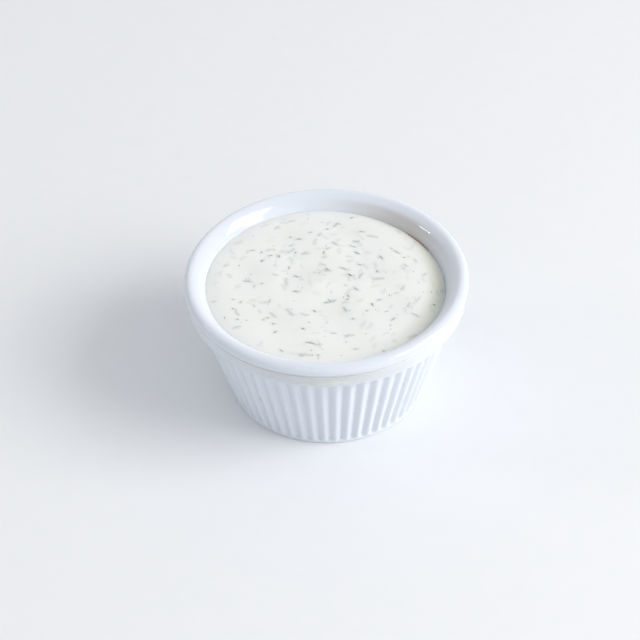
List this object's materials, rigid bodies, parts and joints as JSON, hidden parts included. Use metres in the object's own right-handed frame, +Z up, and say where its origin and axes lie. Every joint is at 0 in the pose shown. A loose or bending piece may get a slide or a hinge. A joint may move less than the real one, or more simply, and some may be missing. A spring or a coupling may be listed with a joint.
{
  "type": "tzatziki dip in ramekin",
  "caption": "Small round fluted ramekin filled to just below its beaded rim with a thick white yogurt dip flecked with dill.",
  "frame": {"origin": "middle of the foot ring's underside, on the surface that the ramekin stands on", "axes": "+Z up through the middle of the ramekin; -Y is the side towards the viewer of the picture, +X is to the right"},
  "size_m": [0.075, 0.075, 0.0368],
  "materials": {
    "melamine": "glossy white moulded melamine, slightly cool, with dried dip and spice smudges on the collar",
    "yogurt_dip": "smooth satin off-white strained yogurt with dark green dill flecks"
  },
  "bodies": {
    "root": {"ramekin": "melamine", "dip": "yogurt_dip"}
  },
  "joints": []
}
